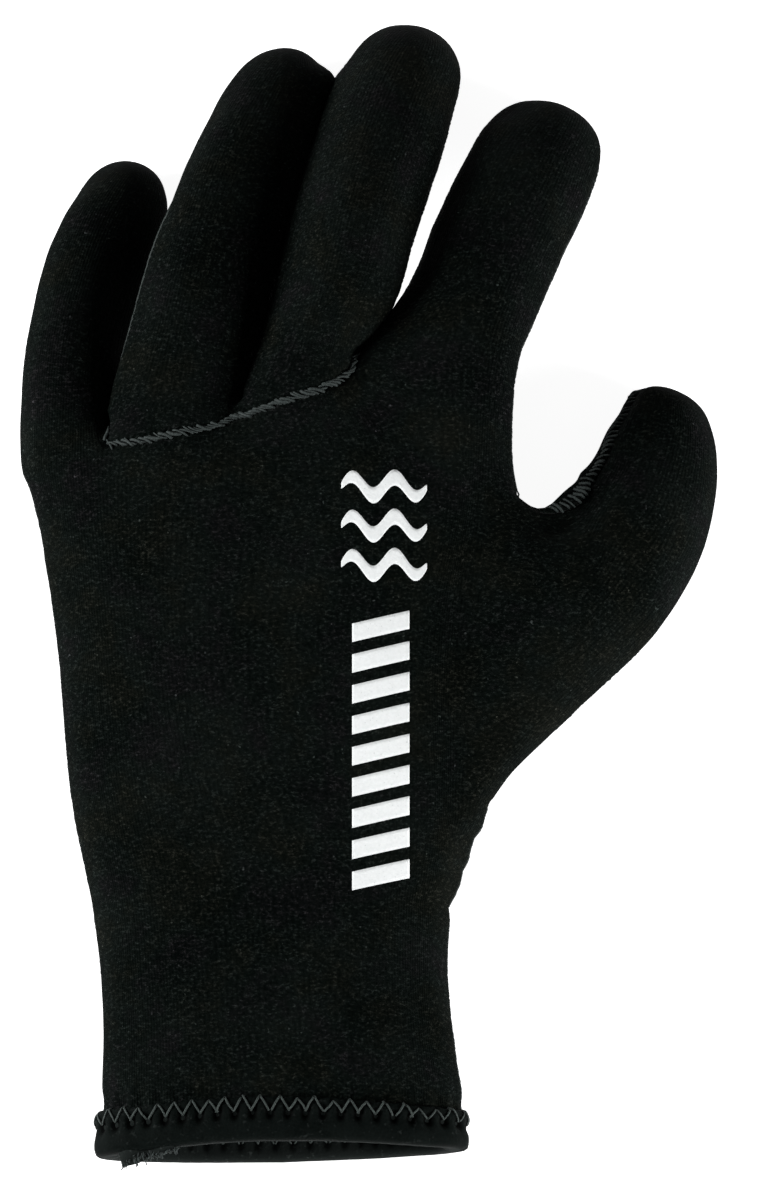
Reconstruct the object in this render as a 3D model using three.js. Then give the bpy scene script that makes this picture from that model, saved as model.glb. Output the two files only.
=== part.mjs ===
// A left-hand neoprene diving glove, lying palm down with its fingers curled to the surface.
// Its walls are one thickness of neoprene, cut as panels that butt at glued and stitched seams:
//   back_panel    back of the hand and wrist, with the backs of the little finger, index finger and thumb
//   finger_panel  backs of the ring and middle fingers, let in along the seam across the knuckles
//   palm_panel    palm and underside of the wrist
//   little_underside, ring_underside, middle_underside, index_underside, thumb_underside
//                 one for each finger, sewn to the palm at its root
//   cuff_binding  tape folded over the edge of the cuff
// Millimetres. +X points to the thumb side, +Y to the fingertips and +Z up, out of the back of the hand.
// The origin is under the middle of the glove's box, on the surface that it lies on.
import * as THREE from "three";

// Driving sizes, in millimetres
const WALL = 3; // thickness of the neoprene
const PANEL_GAP = 0.3; // between two panels at a seam
const FINGER_GAP = 1.8; // between neighbouring fingers, side by side
const HAND_LENGTH = 172; // edge of the cuff to the knuckle seam
const CUFF_WIDTH = 82;
const CUFF_DEPTH = 28;
const FINGER_WIDTH = 28.2; // of the ring finger, outside
const FINGER_DEPTH = 24;
const FINGER_LENGTH = 107; // of the ring and middle fingers, knuckle seam to tip
const KNUCKLE_HEIGHT = 28; // of the middle finger's middle at its root
const THUMB_WIDTH = 34;
const THUMB_DEPTH = 24;
const THUMB_LENGTH = 85;
const THUMB_HEIGHT = 22;
const SETTLE = 0.8; // how far the underside of the cuff is pressed flat by the surface
const KNUCKLE_SHIFT = -3.3; // middle of the knuckles from the middle of the cuff, to the little-finger side
const WEB_FORWARD = 8; // how far the web between two fingers lies past the knuckle seam
const PALM_WEB_FORWARD = 10; // the same on the palm side
const VALLEY_DEPTH = 2.5; // dip of the back between two knuckles
const BINDING_HEIGHT = 10; // how far the tape reaches up the cuff
const TAPE = 1.2; // thickness of the tape
const TAPE_CLEARANCE = 0.3; // between the tape and the neoprene

// The fingers, little finger first: shares of the finger sizes above
const FINGERS = [
  { name: "little", wide: 0.674, deep: 0.875, long: 0.757 },
  { name: "ring", wide: 1, deep: 1, long: 1 },
  { name: "middle", wide: 0.94, deep: 1, long: 1 },
  { name: "index", wide: 1.028, deep: 1, long: 0.748 },
];
// How each finger stands at its knuckle, in the same order. root is the knuckle's distance from the cuff as
// a share of the hand's length; high is a share of the knuckle height; leanRoot and leanTip are the angles
// to the thumb side at the root and the tip, in degrees; web is how far the valley on the thumb side is
// moved, as a share of the finger's width.
const KNUCKLES = [
  { root: 0.925, high: 0.857, leanRoot: -2, leanTip: 29, web: -0.05 },
  { root: 0.94, high: 0.964, leanRoot: 6, leanTip: 26, web: -0.1 },
  { root: 0.975, high: 1, leanRoot: 7.5, leanTip: 24, web: -0.18 },
  { root: 1.03, high: 0.929, leanRoot: 17, leanTip: 28, web: 0 },
];
// Sections of every finger: along is a share of its length and deep of its depth; pitch is how steeply it
// points down there, as a share of the pitch that takes its tip to the surface; the columns named after
// the fingers are shares of their widths.
const FINGER_SECTIONS = [
  { along: 0.24, pitch: 0.35, deep: 1.0, little: 1.1, ring: 0.99, middle: 0.96, index: 0.97 },
  { along: 0.43, pitch: 0.75, deep: 0.96, little: 1.14, ring: 0.97, middle: 1.02, index: 1.0 },
  { along: 0.62, pitch: 1.1, deep: 0.93, little: 1.16, ring: 0.94, middle: 1.06, index: 1.02 },
  { along: 0.79, pitch: 1.45, deep: 0.86, little: 1.12, ring: 0.88, middle: 1.08, index: 1.03 },
  { along: 0.92, pitch: 1.7, deep: 0.7, little: 0.93, ring: 0.72, middle: 0.9, index: 0.87 },
];
// The thumb's root lies in the side of the hand, at shares of the hand's length and of the knuckles' width.
// leanRoot and leanTip are as for a finger, and lateness above 1 keeps the bend between them near the tip.
// roll turns the nail side outwards, in degrees.
const THUMB = { root: 0.645, across: 0.485, leanRoot: 46, leanTip: -10, lateness: 2, roll: 15 };
// Sections of the thumb, as of a finger. turn is how far one is turned from square across it, in degrees.
const THUMB_SECTIONS = [
  { along: 0.205, wide: 1.52, deep: 1.15, pitch: 0.9, turn: 50 },
  { along: 0.39, wide: 1.28, deep: 1.1, pitch: 1, turn: 38 },
  { along: 0.53, wide: 1.2, deep: 1.08, pitch: 1.1, turn: 34 },
  { along: 0.69, wide: 1.05, deep: 0.97, pitch: 1.1, turn: 30 },
  { along: 0.83, wide: 0.79, deep: 0.85, pitch: 1.1, turn: 26 },
  { along: 0.945, wide: 0.52, deep: 0.62, pitch: 1, turn: 22 },
];
// Sections of the hand from the cuff to the knuckles. along is a share of the hand's length. left, right,
// top and bottom are how far each side has come from its place at the cuff (0) to that at the knuckles (1).
// open is the angle that a section's points leave free on the thumb's side, where its root needs the room.
const EVEN = 18; // the same angle where all points are evenly spread
const HAND_SECTIONS = [
  { along: 0, left: 0, right: 0, top: 0, bottom: 0, open: EVEN },
  { along: BINDING_HEIGHT / HAND_LENGTH, left: 0, right: 0, top: 0, bottom: 0, open: EVEN },
  { along: 0.2, left: 0, right: -0.24, top: 0.05, bottom: -0.05, open: EVEN },
  { along: 0.35, left: 0.15, right: -0.15, top: 0.2, bottom: -0.1, open: EVEN },
  { along: 0.47, left: 0.37, right: 0.5, top: 0.45, bottom: 0, open: 30 },
  { along: 0.68, left: 0.57, right: 1.05, top: 0.75, bottom: 0.2, open: 40 },
  { along: 0.87, left: 0.85, right: 1.1, top: 0.95, bottom: 0.6, open: 30 },
];
const THUMB_ROW = 4; // the thumb grows from between this section and the one two further on

// Counts and shape constants
const BACK_POINTS = 9; // cage points over the back of a hand section, and as many over the palm
const HAND_POINTS = 2 * BACK_POINTS + 2;
const FINGER_POINTS = 8;
const SQUARENESS = 2.5; // exponent of the hand's sections: 2 is an ellipse
const CORNER = 0.75; // place of the corner points of an outer finger's root, as a share of its half size
const PATH_STEPS = 60; // in which the path down a finger is walked
const STEEPEST = 60; // degrees, the most that a finger's pitch may be scaled to
const HALVINGS = 20; // rounds in the search for the pitch
const FIT_ROUNDS = 12; // rounds in which the cage is drawn out until its smooth surface meets the tables

const radians = THREE.MathUtils.degToRad;
const lerp = THREE.MathUtils.lerp;
const vector = (x, y, z) => new THREE.Vector3(x, y, z);
const UP = vector(0, 0, 1);

// The cage: points, and four-cornered faces that each belong to a panel
const cage = { points: [], faces: [] };
const addPoint = (point) => cage.points.push(point) - 1;
const addFace = (panel, ...corners) => cage.faces.push({ panel, corners });

// The tables' shares as sizes
const fingers = FINGERS.map((row, k) => ({
  ...row,
  ...KNUCKLES[k],
  width: row.wide * FINGER_WIDTH,
  depth: row.deep * FINGER_DEPTH,
  length: row.long * FINGER_LENGTH,
  height: KNUCKLES[k].high * KNUCKLE_HEIGHT,
}));
const thumb = { ...THUMB, name: "thumb", width: THUMB_WIDTH, depth: THUMB_DEPTH, length: THUMB_LENGTH };
const undersideOf = (shape) => `${shape.name}_underside`;

// Widths of the fingers as they stand in the knuckle row, and the places of the valleys between them
const rowWidths = fingers.map((f) => f.width / Math.cos(radians((f.leanRoot + f.leanTip) / 2)));
const knuckleWidth = rowWidths.reduce((sum, w) => sum + w, FINGER_GAP * (fingers.length - 1));
const knuckleLeft = KNUCKLE_SHIFT - knuckleWidth / 2;
const knuckleRight = KNUCKLE_SHIFT + knuckleWidth / 2;
let rowEnd = knuckleLeft;
const roots = fingers.map((finger, k) => {
  const centre = rowEnd + rowWidths[k] / 2;
  rowEnd += rowWidths[k] + FINGER_GAP;
  return { finger, centre, edge: rowEnd - FINGER_GAP / 2, y: finger.root * HAND_LENGTH };
});

// One section of the hand: its side point at the little finger, the back, the thumb's side, the palm
const cuffFloor = TAPE + TAPE_CLEARANCE; // the neoprene stands this high, on the tape
const knuckleTop = Math.max(...fingers.map((f) => f.height + f.depth / 2));
const knuckleBottom = Math.min(...fingers.map((f) => f.height - f.depth / 2));
const signedPower = (value, power) => Math.sign(value) * Math.abs(value) ** power;

function handPoint(row, index) {
  const left = lerp(-CUFF_WIDTH / 2, knuckleLeft, row.left);
  const right = lerp(CUFF_WIDTH / 2, knuckleRight, row.right);
  const top = lerp(cuffFloor + CUFF_DEPTH, knuckleTop, row.top);
  const bottom = lerp(cuffFloor - SETTLE, knuckleBottom, row.bottom);
  const fromLeft = Math.min(index, HAND_POINTS - index);
  const turned = fromLeft > BACK_POINTS ? 180 : (fromLeft * (180 - row.open)) / BACK_POINTS;
  const angle = radians(180 - turned) * (index > BACK_POINTS + 1 ? -1 : 1);
  const x = (signedPower(Math.cos(angle), 2 / SQUARENESS) * (right - left)) / 2;
  const z = (signedPower(Math.sin(angle), 2 / SQUARENESS) * (top - bottom)) / 2;
  return vector((left + right) / 2 + x, row.along * HAND_LENGTH, (top + bottom) / 2 + z);
}

const handRings = HAND_SECTIONS.map((row, r) =>
  Array.from({ length: HAND_POINTS }, (_, i) =>
    r === THUMB_ROW + 1 && i === BACK_POINTS + 1 ? -1 : addPoint(handPoint(row, i)),
  ),
);

// The knuckle row: the last ring of the hand and the first of each finger, which share their web points
const webs = roots.slice(0, -1).map((root, k) => {
  const next = roots[k + 1];
  const x = root.edge + root.finger.web * root.finger.width;
  const y = (root.y + next.y) / 2;
  const z = (root.finger.height + next.finger.height) / 2;
  const half = (root.finger.depth + next.finger.depth) / 4;
  return {
    back: addPoint(vector(x, y, z + half - VALLEY_DEPTH)),
    middle: addPoint(vector(root.edge, y + WEB_FORWARD, z)),
    palm: addPoint(vector(root.edge, y + PALM_WEB_FORWARD, z - half)),
  };
});

function rootRing(k) {
  const { finger, centre, y } = roots[k];
  const half = finger.depth / 2;
  const across = rowWidths[k] / 2;
  const side = (sign) => addPoint(vector(centre + sign * across, y, finger.height));
  const corner = (sign, up) =>
    addPoint(vector(centre + sign * across * CORNER, y, finger.height + up * half * CORNER));
  const first = k === 0;
  const last = k === roots.length - 1;
  const left = first
    ? { side: side(-1), back: corner(-1, 1), palm: corner(-1, -1) }
    : { side: webs[k - 1].middle, back: webs[k - 1].back, palm: webs[k - 1].palm };
  const right = last
    ? { side: side(1), back: corner(1, 1), palm: corner(1, -1) }
    : { side: webs[k].middle, back: webs[k].back, palm: webs[k].palm };
  const back = addPoint(vector(centre, y, finger.height + half));
  const palm = addPoint(vector(centre, y, finger.height - half));
  return [left.side, left.back, back, right.back, right.side, right.palm, palm, left.palm];
}
const fingerRoots = roots.map((_, k) => rootRing(k));
// Over the backs from the little finger to the index finger, and back again under them
const knuckleRing = [
  ...fingerRoots[0].slice(0, 2),
  ...fingerRoots.flatMap((ring) => ring.slice(2, 4)),
  ...fingerRoots.at(-1).slice(4, 6),
  ...fingerRoots.toReversed().flatMap((ring) => ring.slice(6, 8)),
];

// Faces of the hand, leaving open the hole that the thumb grows from
const rings = [...handRings, knuckleRing];
for (let r = 0; r + 1 < rings.length; r++) {
  for (let i = 0; i < HAND_POINTS; i++) {
    const next = (i + 1) % HAND_POINTS;
    const besideThumb = i === BACK_POINTS || i === BACK_POINTS + 1;
    if (besideThumb && (r === THUMB_ROW || r === THUMB_ROW + 1)) continue;
    const panel = i <= BACK_POINTS ? "back_panel" : "palm_panel";
    addFace(panel, rings[r][i], rings[r][next], rings[r + 1][next], rings[r + 1][i]);
  }
}

// A finger or thumb: a path that leans and pitches, with a ring of eight points at each section
function pathOf(shape, sections, start, pitchScale) {
  const known = [{ along: 0, pitch: 0 }, ...sections, { along: 1, pitch: sections.at(-1).pitch }];
  const pitchAt = (s) => {
    const i = Math.max(1, known.findIndex((row) => row.along >= s));
    const share = (s - known[i - 1].along) / (known[i].along - known[i - 1].along || 1);
    return radians(pitchScale * lerp(known[i - 1].pitch, known[i].pitch, share));
  };
  const at = start.clone();
  const stations = [];
  for (let step = 0; step <= PATH_STEPS; step++) {
    const s = step / PATH_STEPS;
    const lean = radians(lerp(shape.leanRoot, shape.leanTip, s ** (shape.lateness ?? 1)));
    const level = vector(Math.sin(lean), Math.cos(lean), 0);
    const pitch = pitchAt(s);
    const along = level.multiplyScalar(Math.cos(pitch)).addScaledVector(UP, -Math.sin(pitch));
    const side = vector(Math.cos(lean), -Math.sin(lean), 0);
    stations.push({ at: at.clone(), along, side, up: side.clone().cross(along) });
    at.addScaledVector(along, shape.length / PATH_STEPS);
  }
  return (s) => stations[Math.round(s * PATH_STEPS)];
}

// The pitch that brings the tip down to the surface, found by halving
function pathToSurface(shape, sections, start) {
  const tipRadius = (sections.at(-1).deep * shape.depth) / 2;
  let low = 0;
  let high = STEEPEST;
  for (let round = 0; round < HALVINGS; round++) {
    const middle = (low + high) / 2;
    const tip = pathOf(shape, sections, start, middle)(sections.at(-1).along);
    if (tip.at.z - tipRadius * tip.up.z > 0) low = middle;
    else high = middle;
  }
  return pathOf(shape, sections, start, low);
}

function addFinger(shape, sections, start, rootIds, backPanel) {
  const underPanel = undersideOf(shape);
  const path = pathToSurface(shape, sections, start);
  const roll = radians(shape.roll ?? 0);
  let previous = rootIds;
  for (const row of sections) {
    const { at, side, along, up } = path(row.along);
    const turn = radians(row.turn ?? 0);
    const cross = side.clone().multiplyScalar(Math.cos(turn)).addScaledVector(along, -Math.sin(turn));
    const ring = rootIds.map((_, i) => {
      const angle = Math.PI - (i * 2 * Math.PI) / FINGER_POINTS;
      const across = (Math.cos(angle) * (row.wide ?? row[shape.name]) * shape.width) / 2;
      const over = (Math.sin(angle) * row.deep * shape.depth) / 2;
      const turnedAcross = across * Math.cos(roll) + over * Math.sin(roll);
      const turnedOver = over * Math.cos(roll) - across * Math.sin(roll);
      return addPoint(at.clone().addScaledVector(cross, turnedAcross).addScaledVector(up, turnedOver));
    });
    ring.forEach((id, i) => {
      const next = (i + 1) % FINGER_POINTS;
      const panel = i < FINGER_POINTS / 2 ? backPanel : underPanel;
      addFace(panel, previous[i], previous[next], ring[next], id);
    });
    previous = ring;
  }
  const tip = addPoint(path(1).at);
  for (let i = 0; i < FINGER_POINTS; i += 2) {
    const panel = i < FINGER_POINTS / 2 ? backPanel : underPanel;
    addFace(panel, previous[i], previous[i + 1], previous[(i + 2) % FINGER_POINTS], tip);
  }
}

roots.forEach(({ finger, centre, y }, k) => {
  const inserted = k === 1 || k === 2;
  const start = vector(centre, y, finger.height);
  addFinger(finger, FINGER_SECTIONS, start, fingerRoots[k], inserted ? "finger_panel" : "back_panel");
});
const thumbHole = [
  handRings[THUMB_ROW + 2][BACK_POINTS + 1],
  handRings[THUMB_ROW + 2][BACK_POINTS],
  handRings[THUMB_ROW + 1][BACK_POINTS],
  handRings[THUMB_ROW][BACK_POINTS],
  handRings[THUMB_ROW][BACK_POINTS + 1],
  handRings[THUMB_ROW][BACK_POINTS + 2],
  handRings[THUMB_ROW + 1][BACK_POINTS + 2],
  handRings[THUMB_ROW + 2][BACK_POINTS + 2],
];
const thumbX = KNUCKLE_SHIFT + thumb.across * knuckleWidth;
const thumbStart = vector(thumbX, thumb.root * HAND_LENGTH, THUMB_HEIGHT);
addFinger(thumb, THUMB_SECTIONS, thumbStart, thumbHole, "back_panel");

// Catmull-Clark: one round of subdivision, then every point moved to the smooth surface
const edgeKey = (a, b) => (a < b ? `${a},${b}` : `${b},${a}`);
const mean = (points) => points.reduce((sum, p) => sum.add(p), vector(0, 0, 0)).divideScalar(points.length);

function neighbourhood({ points, faces }) {
  const edges = new Map();
  const around = points.map(() => ({ faces: [], edges: new Set() }));
  faces.forEach(({ corners }, f) =>
    corners.forEach((a, i) => {
      const key = edgeKey(a, corners[(i + 1) % 4]);
      if (!edges.has(key)) edges.set(key, { ends: [a, corners[(i + 1) % 4]], faces: [] });
      edges.get(key).faces.push(f);
      around[a].faces.push(f);
      around[a].edges.add(key);
      around[corners[(i + 1) % 4]].edges.add(key);
    }),
  );
  return { edges, around };
}
const other = (edge, v) => edge.ends[edge.ends[0] === v ? 1 : 0];
const isRim = (edge) => edge.faces.length === 1;

function subdivide(mesh) {
  const { points, faces } = mesh;
  const { edges, around } = neighbourhood(mesh);
  const made = [];
  const keep = (point) => made.push(point) - 1;
  points.forEach((p, v) => {
    const rim = [...around[v].edges].map((key) => edges.get(key)).filter(isRim);
    const n = around[v].edges.size;
    if (n === 0) return keep(p.clone());
    if (rim.length) {
      const ends = mean(rim.map((edge) => points[other(edge, v)]));
      return keep(p.clone().multiplyScalar(0.75).addScaledVector(ends, 0.25));
    }
    const centres = mean(around[v].faces.map((f) => mean(faces[f].corners.map((c) => points[c]))));
    const ends = mean([...around[v].edges].map((key) => points[other(edges.get(key), v)]));
    const moved = p.clone().multiplyScalar(n - 2).add(centres).add(ends);
    return keep(moved.divideScalar(n));
  });
  const facePoints = faces.map(({ corners }) => keep(mean(corners.map((c) => points[c]))));
  const edgePoints = new Map(
    [...edges].map(([key, edge]) => {
      const ends = edge.ends.map((c) => points[c]);
      const inner = edge.faces.length === 2 ? edge.faces.map((f) => made[facePoints[f]]) : [];
      return [key, keep(mean([...ends, ...inner]))];
    }),
  );
  const smaller = faces.flatMap(({ panel, corners }, f) =>
    corners.map((a, i) => {
      const after = edgePoints.get(edgeKey(a, corners[(i + 1) % 4]));
      const before = edgePoints.get(edgeKey(corners[(i + 3) % 4], a));
      return { panel, corners: [a, after, facePoints[f], before] };
    }),
  );
  return { points: made, faces: smaller };
}

function toSmoothSurface(mesh) {
  const { points, faces } = mesh;
  const { edges, around } = neighbourhood(mesh);
  const moved = points.map((p, v) => {
    const n = around[v].edges.size;
    const rim = [...around[v].edges].map((key) => edges.get(key)).filter(isRim);
    if (n === 0) return p.clone();
    if (rim.length) {
      const ends = mean(rim.map((edge) => points[other(edge, v)]));
      return p.clone().multiplyScalar(2 / 3).addScaledVector(ends, 1 / 3);
    }
    const sum = p.clone().multiplyScalar(n * n);
    for (const key of around[v].edges) sum.addScaledVector(points[other(edges.get(key), v)], 4);
    for (const f of around[v].faces) {
      const { corners } = faces[f];
      sum.add(points[corners[(corners.indexOf(v) + 2) % 4]]);
    }
    return sum.divideScalar(n * (n + 5));
  });
  return { points: moved, faces };
}

// The points laid out above are wanted on the smooth surface, so the cage is moved until they are
function fitCage(mesh) {
  const wanted = mesh.points.map((p) => p.clone());
  for (let round = 0; round < FIT_ROUNDS; round++) {
    const smooth = toSmoothSurface(mesh).points;
    mesh.points.forEach((p, v) => p.add(wanted[v]).sub(smooth[v]));
  }
}

// The outer skin, flattened where it rests, its normals, and the skin inside it
fitCage(cage);
const outer = toSmoothSurface(subdivide(cage));
for (const p of outer.points) p.z = Math.max(p.z, p.y < BINDING_HEIGHT + WALL ? cuffFloor : 0);
const normals = outer.points.map(() => vector(0, 0, 0));
for (const { corners } of outer.faces) {
  const [a, b, c, d] = corners.map((v) => outer.points[v]);
  const normal = c.clone().sub(a).cross(d.clone().sub(b)).normalize();
  corners.forEach((v) => normals[v].add(normal));
}
normals.forEach((n) => n.normalize());
const offsetPoint = (v, distance) => {
  const p = outer.points[v].clone().addScaledVector(normals[v], distance);
  p.z = Math.max(p.z, distance < 0 ? -distance : 0);
  return p;
};

// A solid from numbered points and faces of three or four corners
function geometryOf(points, faces) {
  const index = faces.flatMap((face) => {
    if (face.length === 3) return face;
    const [a, b, c, d] = face;
    const cutAC = points[a].distanceToSquared(points[c]) <= points[b].distanceToSquared(points[d]);
    return cutAC ? [a, b, c, a, c, d] : [a, b, d, b, c, d];
  });
  const geometry = new THREE.BufferGeometry().setFromPoints(points);
  geometry.setIndex(index);
  geometry.computeVertexNormals();
  return geometry;
}

// One panel: its part of the outer skin, the same part of the inner one, and the cut edge between them,
// drawn back from its neighbours by half the gap
function panelGeometry(panel) {
  const faces = outer.faces.filter((face) => face.panel === panel).map((face) => face.corners);
  const sides = faces.flatMap((c) => c.map((v, i) => [v, c[(i + 1) % 4]]));
  const directed = new Set(sides.map(([a, b]) => `${a},${b}`));
  const rim = sides.filter(([a, b]) => !directed.has(`${b},${a}`));
  const others = outer.faces.filter((face) => face.panel !== panel);
  const elsewhere = new Set(others.flatMap((face) => face.corners));
  const inward = new Map();
  for (const corners of faces) {
    const centre = mean(corners.map((v) => outer.points[v]));
    for (const v of corners) {
      if (!elsewhere.has(v)) continue;
      const way = centre.clone().sub(outer.points[v]);
      way.addScaledVector(normals[v], -way.dot(normals[v])).normalize();
      inward.set(v, (inward.get(v) ?? vector(0, 0, 0)).add(way));
    }
  }
  const used = [...new Set(faces.flat())];
  const place = new Map(used.map((v, i) => [v, i]));
  const layer = (distance) =>
    used.map((v) => {
      const p = offsetPoint(v, distance);
      return inward.has(v) ? p.addScaledVector(inward.get(v).clone().normalize(), PANEL_GAP / 2) : p;
    });
  const count = used.length;
  const top = faces.map((c) => c.map((v) => place.get(v)));
  const under = top.map((c) => c.map((v) => v + count).reverse());
  // Both panels at a seam split the same way across it, so that their cut edges stay parallel
  const walls = rim.flatMap(([a, b]) => {
    const [from, to] = [place.get(a), place.get(b)];
    return a < b
      ? [[to, from, from + count], [to, from + count, to + count]]
      : [[to, from, to + count], [from, from + count, to + count]];
  });
  return geometryOf([...layer(0), ...layer(-WALL)], [...top, ...under, ...walls]);
}

// The rows of skin points up from the edge of the cuff, each in order round it
function cuffRows(count) {
  const { edges } = neighbourhood(outer);
  const faceAt = new Map(); // the face to the left of each directed side, and where in it the side starts
  for (const { corners } of outer.faces) {
    corners.forEach((v, i) => faceAt.set(`${v},${corners[(i + 1) % 4]}`, { corners, i }));
  }
  const onward = new Map();
  for (const edge of [...edges.values()].filter(isRim)) onward.set(...edge.ends);
  const rim = [onward.keys().next().value];
  while (onward.get(rim.at(-1)) !== rim[0]) rim.push(onward.get(rim.at(-1)));
  const rows = [rim];
  while (rows.length < count) {
    const row = rows.at(-1);
    const above = row.map((v, n) => {
      const { corners, i } = faceAt.get(`${v},${row[(n + 1) % row.length]}`);
      return corners[(i + 3) % 4];
    });
    rows.push(above);
  }
  return rows;
}

// The tape: a fold round the cuff's edge with a leg up the outside and a leg up the inside
const cuff = cuffRows(3);
function tapeProfile(i) {
  const outside = TAPE_CLEARANCE + TAPE;
  const inside = WALL + TAPE_CLEARANCE;
  const edge = cuff[0][i];
  const down = outer.points[edge].clone().sub(outer.points[cuff[1][i]]).normalize();
  const middle = offsetPoint(edge, -WALL / 2);
  const fold = [45, 90, 135].map((degrees) => {
    const out = Math.cos(radians(degrees)) * (WALL / 2 + outside);
    const over = Math.sin(radians(degrees)) * outside;
    return middle.clone().addScaledVector(normals[edge], out).addScaledVector(down, over);
  });
  const leg = (distance, rows) => rows.map((row) => offsetPoint(cuff[row][i], distance));
  const seat = leg(-inside, [0]).concat(leg(TAPE_CLEARANCE, [0]));
  seat.forEach((p) => p.addScaledVector(down, TAPE_CLEARANCE));
  return [
    ...leg(outside, [2, 1, 0]),
    ...fold,
    ...leg(-inside - TAPE, [0, 1, 2]),
    ...leg(-inside, [2, 1]),
    ...seat,
    ...leg(TAPE_CLEARANCE, [1, 2]),
  ];
}

function bindingGeometry() {
  const profiles = cuff[0].map((_, i) => tapeProfile(i));
  const size = profiles[0].length;
  const faces = profiles.flatMap((_, i) => {
    const next = (i + 1) % profiles.length;
    return profiles[0].map((_, j) => {
      const after = (j + 1) % size;
      return [i * size + j, i * size + after, next * size + after, next * size + j];
    });
  });
  return geometryOf(profiles.flat(), faces);
}

const cloth = (name, color, roughness) => new THREE.MeshStandardMaterial({ name, color, roughness });
const jersey = cloth("jersey", 0x141616, 0.92);
const tape = cloth("tape", 0x1c1e1f, 0.7);

const glove = new THREE.Group();
function addMesh(name, geometry, material) {
  const mesh = new THREE.Mesh(geometry, material);
  mesh.name = name;
  glove.add(mesh);
}
const panels = ["back_panel", "finger_panel", "palm_panel", ...[...fingers, thumb].map(undersideOf)];
panels.forEach((panel) => addMesh(panel, panelGeometry(panel), jersey));
addMesh("cuff_binding", bindingGeometry(), tape);

// The origin goes under the middle of the box
const box = new THREE.Box3().setFromObject(glove);
const centre = box.getCenter(vector(0, 0, 0));
glove.position.set(-centre.x, -centre.y, -box.min.z);

export default glove;
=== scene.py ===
"""The looks of a left-hand neoprene diving glove that lies palm down on a pale floor.

The skin is one smooth surface over the same cage as the solids. It is cut into the same panels, and
gets its seams, stitches, cuff tape and print here. All lengths are millimetres until a mesh is made.
"""
import random
from math import copysign, cos, exp, floor, pi, radians, sin

import bpy
import numpy as np
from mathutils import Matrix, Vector, noise
from mathutils.bvhtree import BVHTree
from mathutils.kdtree import KDTree
from numpy.linalg import norm


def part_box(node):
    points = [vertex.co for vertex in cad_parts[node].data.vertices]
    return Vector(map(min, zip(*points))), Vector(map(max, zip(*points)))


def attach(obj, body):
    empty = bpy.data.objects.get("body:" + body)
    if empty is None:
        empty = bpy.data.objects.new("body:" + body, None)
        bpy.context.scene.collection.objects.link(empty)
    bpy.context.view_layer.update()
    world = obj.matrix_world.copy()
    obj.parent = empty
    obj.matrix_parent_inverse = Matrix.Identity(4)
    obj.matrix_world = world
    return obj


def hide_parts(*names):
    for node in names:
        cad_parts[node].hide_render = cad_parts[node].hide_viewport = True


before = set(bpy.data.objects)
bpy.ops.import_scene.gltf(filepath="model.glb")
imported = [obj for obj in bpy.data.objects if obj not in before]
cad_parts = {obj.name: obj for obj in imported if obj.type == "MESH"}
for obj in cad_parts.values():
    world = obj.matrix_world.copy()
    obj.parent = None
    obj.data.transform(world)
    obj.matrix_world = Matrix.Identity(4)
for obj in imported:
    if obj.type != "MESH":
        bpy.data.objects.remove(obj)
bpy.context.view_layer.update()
MM = 0.001
random.seed(7)

# Sizes of the glove, as in the solids
WALL = 3.0
FINGER_GAP = 1.8
HAND_LENGTH = 172.0
CUFF_WIDTH = 82.0
CUFF_DEPTH = 28.0
SETTLE = 0.8
KNUCKLE_SHIFT = -3.3
WEB_FORWARD = 8.0
PALM_WEB_FORWARD = 10.0
VALLEY_DEPTH = 2.5
BINDING_HEIGHT = 10.0
TAPE = 1.2
TAPE_CLEARANCE = 0.3
CUFF_FLOOR = TAPE + TAPE_CLEARANCE

FINGER_WIDTH = 28.2
FINGER_DEPTH = 24.0
FINGER_LENGTH = 107.0
KNUCKLE_HEIGHT = 28.0
THUMB_WIDTH = 34.0
THUMB_DEPTH = 24.0
THUMB_LENGTH = 85.0
THUMB_HEIGHT = 22.0


def table(names, *rows):
    """Rows of values under the same names."""
    return [dict(zip(names.split(), row)) for row in rows]


# The tables are the solids' own: shares of the sizes above, and angles in degrees
FINGERS = table(
    "name wide deep long root high lean web",
    ("little", 0.674, 0.875, 0.757, 0.925, 0.857, (-2, 29), -0.05),
    ("ring", 1, 1, 1, 0.94, 0.964, (6, 26), -0.1),
    ("middle", 0.94, 1, 1, 0.975, 1, (7.5, 24), -0.18),
    ("index", 1.028, 1, 0.748, 1.03, 0.929, (17, 28), 0),
)
for finger in FINGERS:
    finger["width"] = finger["wide"] * FINGER_WIDTH
    finger["depth"] = finger["deep"] * FINGER_DEPTH
    finger["length"] = finger["long"] * FINGER_LENGTH
    finger["height"] = finger["high"] * KNUCKLE_HEIGHT
FINGER_SECTIONS = table(
    "along pitch deep little ring middle index",
    (0.24, 0.35, 1.0, 1.1, 0.99, 0.96, 0.97),
    (0.43, 0.75, 0.96, 1.14, 0.97, 1.02, 1.0),
    (0.62, 1.1, 0.93, 1.16, 0.94, 1.06, 1.02),
    (0.79, 1.45, 0.86, 1.12, 0.88, 1.08, 1.03),
    (0.92, 1.7, 0.7, 0.93, 0.72, 0.9, 0.87),
)
THUMB = dict(name="thumb", width=THUMB_WIDTH, depth=THUMB_DEPTH, length=THUMB_LENGTH, height=THUMB_HEIGHT,
             root=0.645, across=0.485, lean=(46, -10), lateness=2, roll=15)
THUMB_SECTIONS = table(
    "along thumb deep pitch turn",
    (0.205, 1.52, 1.15, 0.9, 50),
    (0.39, 1.28, 1.1, 1, 38),
    (0.53, 1.2, 1.08, 1.1, 34),
    (0.69, 1.05, 0.97, 1.1, 30),
    (0.83, 0.79, 0.85, 1.1, 26),
    (0.945, 0.52, 0.62, 1, 22),
)
EVEN = 18.0
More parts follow.
